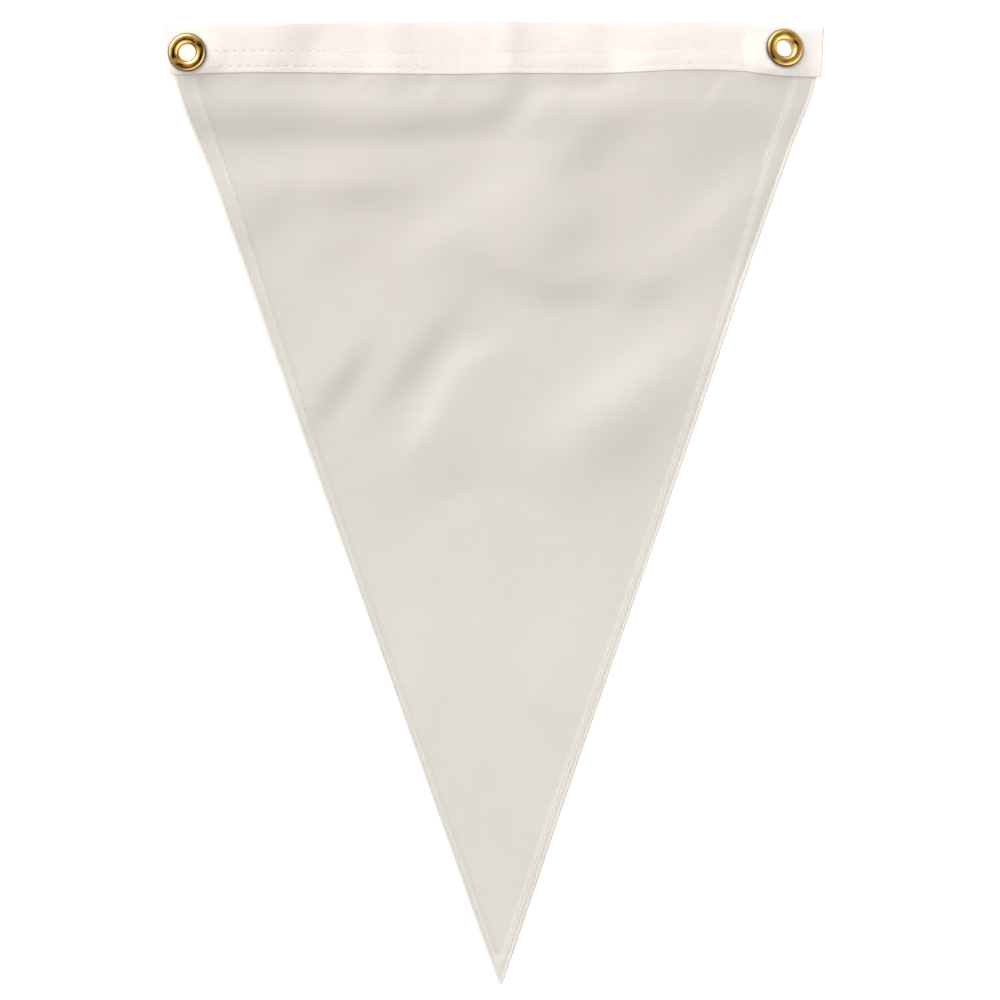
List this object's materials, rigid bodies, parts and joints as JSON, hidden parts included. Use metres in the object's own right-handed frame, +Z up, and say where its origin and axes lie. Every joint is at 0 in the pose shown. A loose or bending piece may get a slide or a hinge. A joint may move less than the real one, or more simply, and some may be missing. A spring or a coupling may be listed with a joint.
{
  "type": "pennant flag",
  "caption": "Blank triangular nylon pennant lying face up, with turned side hems, a folded canvas heading along its broad edge and a brass eyelet in each end of the heading.",
  "frame": {"origin": "on the resting surface, under the middle of the flag's bounding box", "axes": "+Z up from the surface, out of the flag's face; +Y in the flag's plane, from its point to its heading; +X along the heading, to the right as seen from above with the heading at the top"},
  "size_m": [0.3142, 0.4583, 0.0111],
  "materials": {
    "nylon": "plain-woven nylon, off-white, with a faint sheen",
    "canvas": "plain-woven cotton duck, warm white, matte",
    "brass": "polished"
  },
  "bodies": {
    "root": {"fly": "nylon", "heading": "canvas", "eyelet_left": "brass", "washer_left": "brass", "eyelet_right": "brass", "washer_right": "brass"}
  },
  "joints": []
}
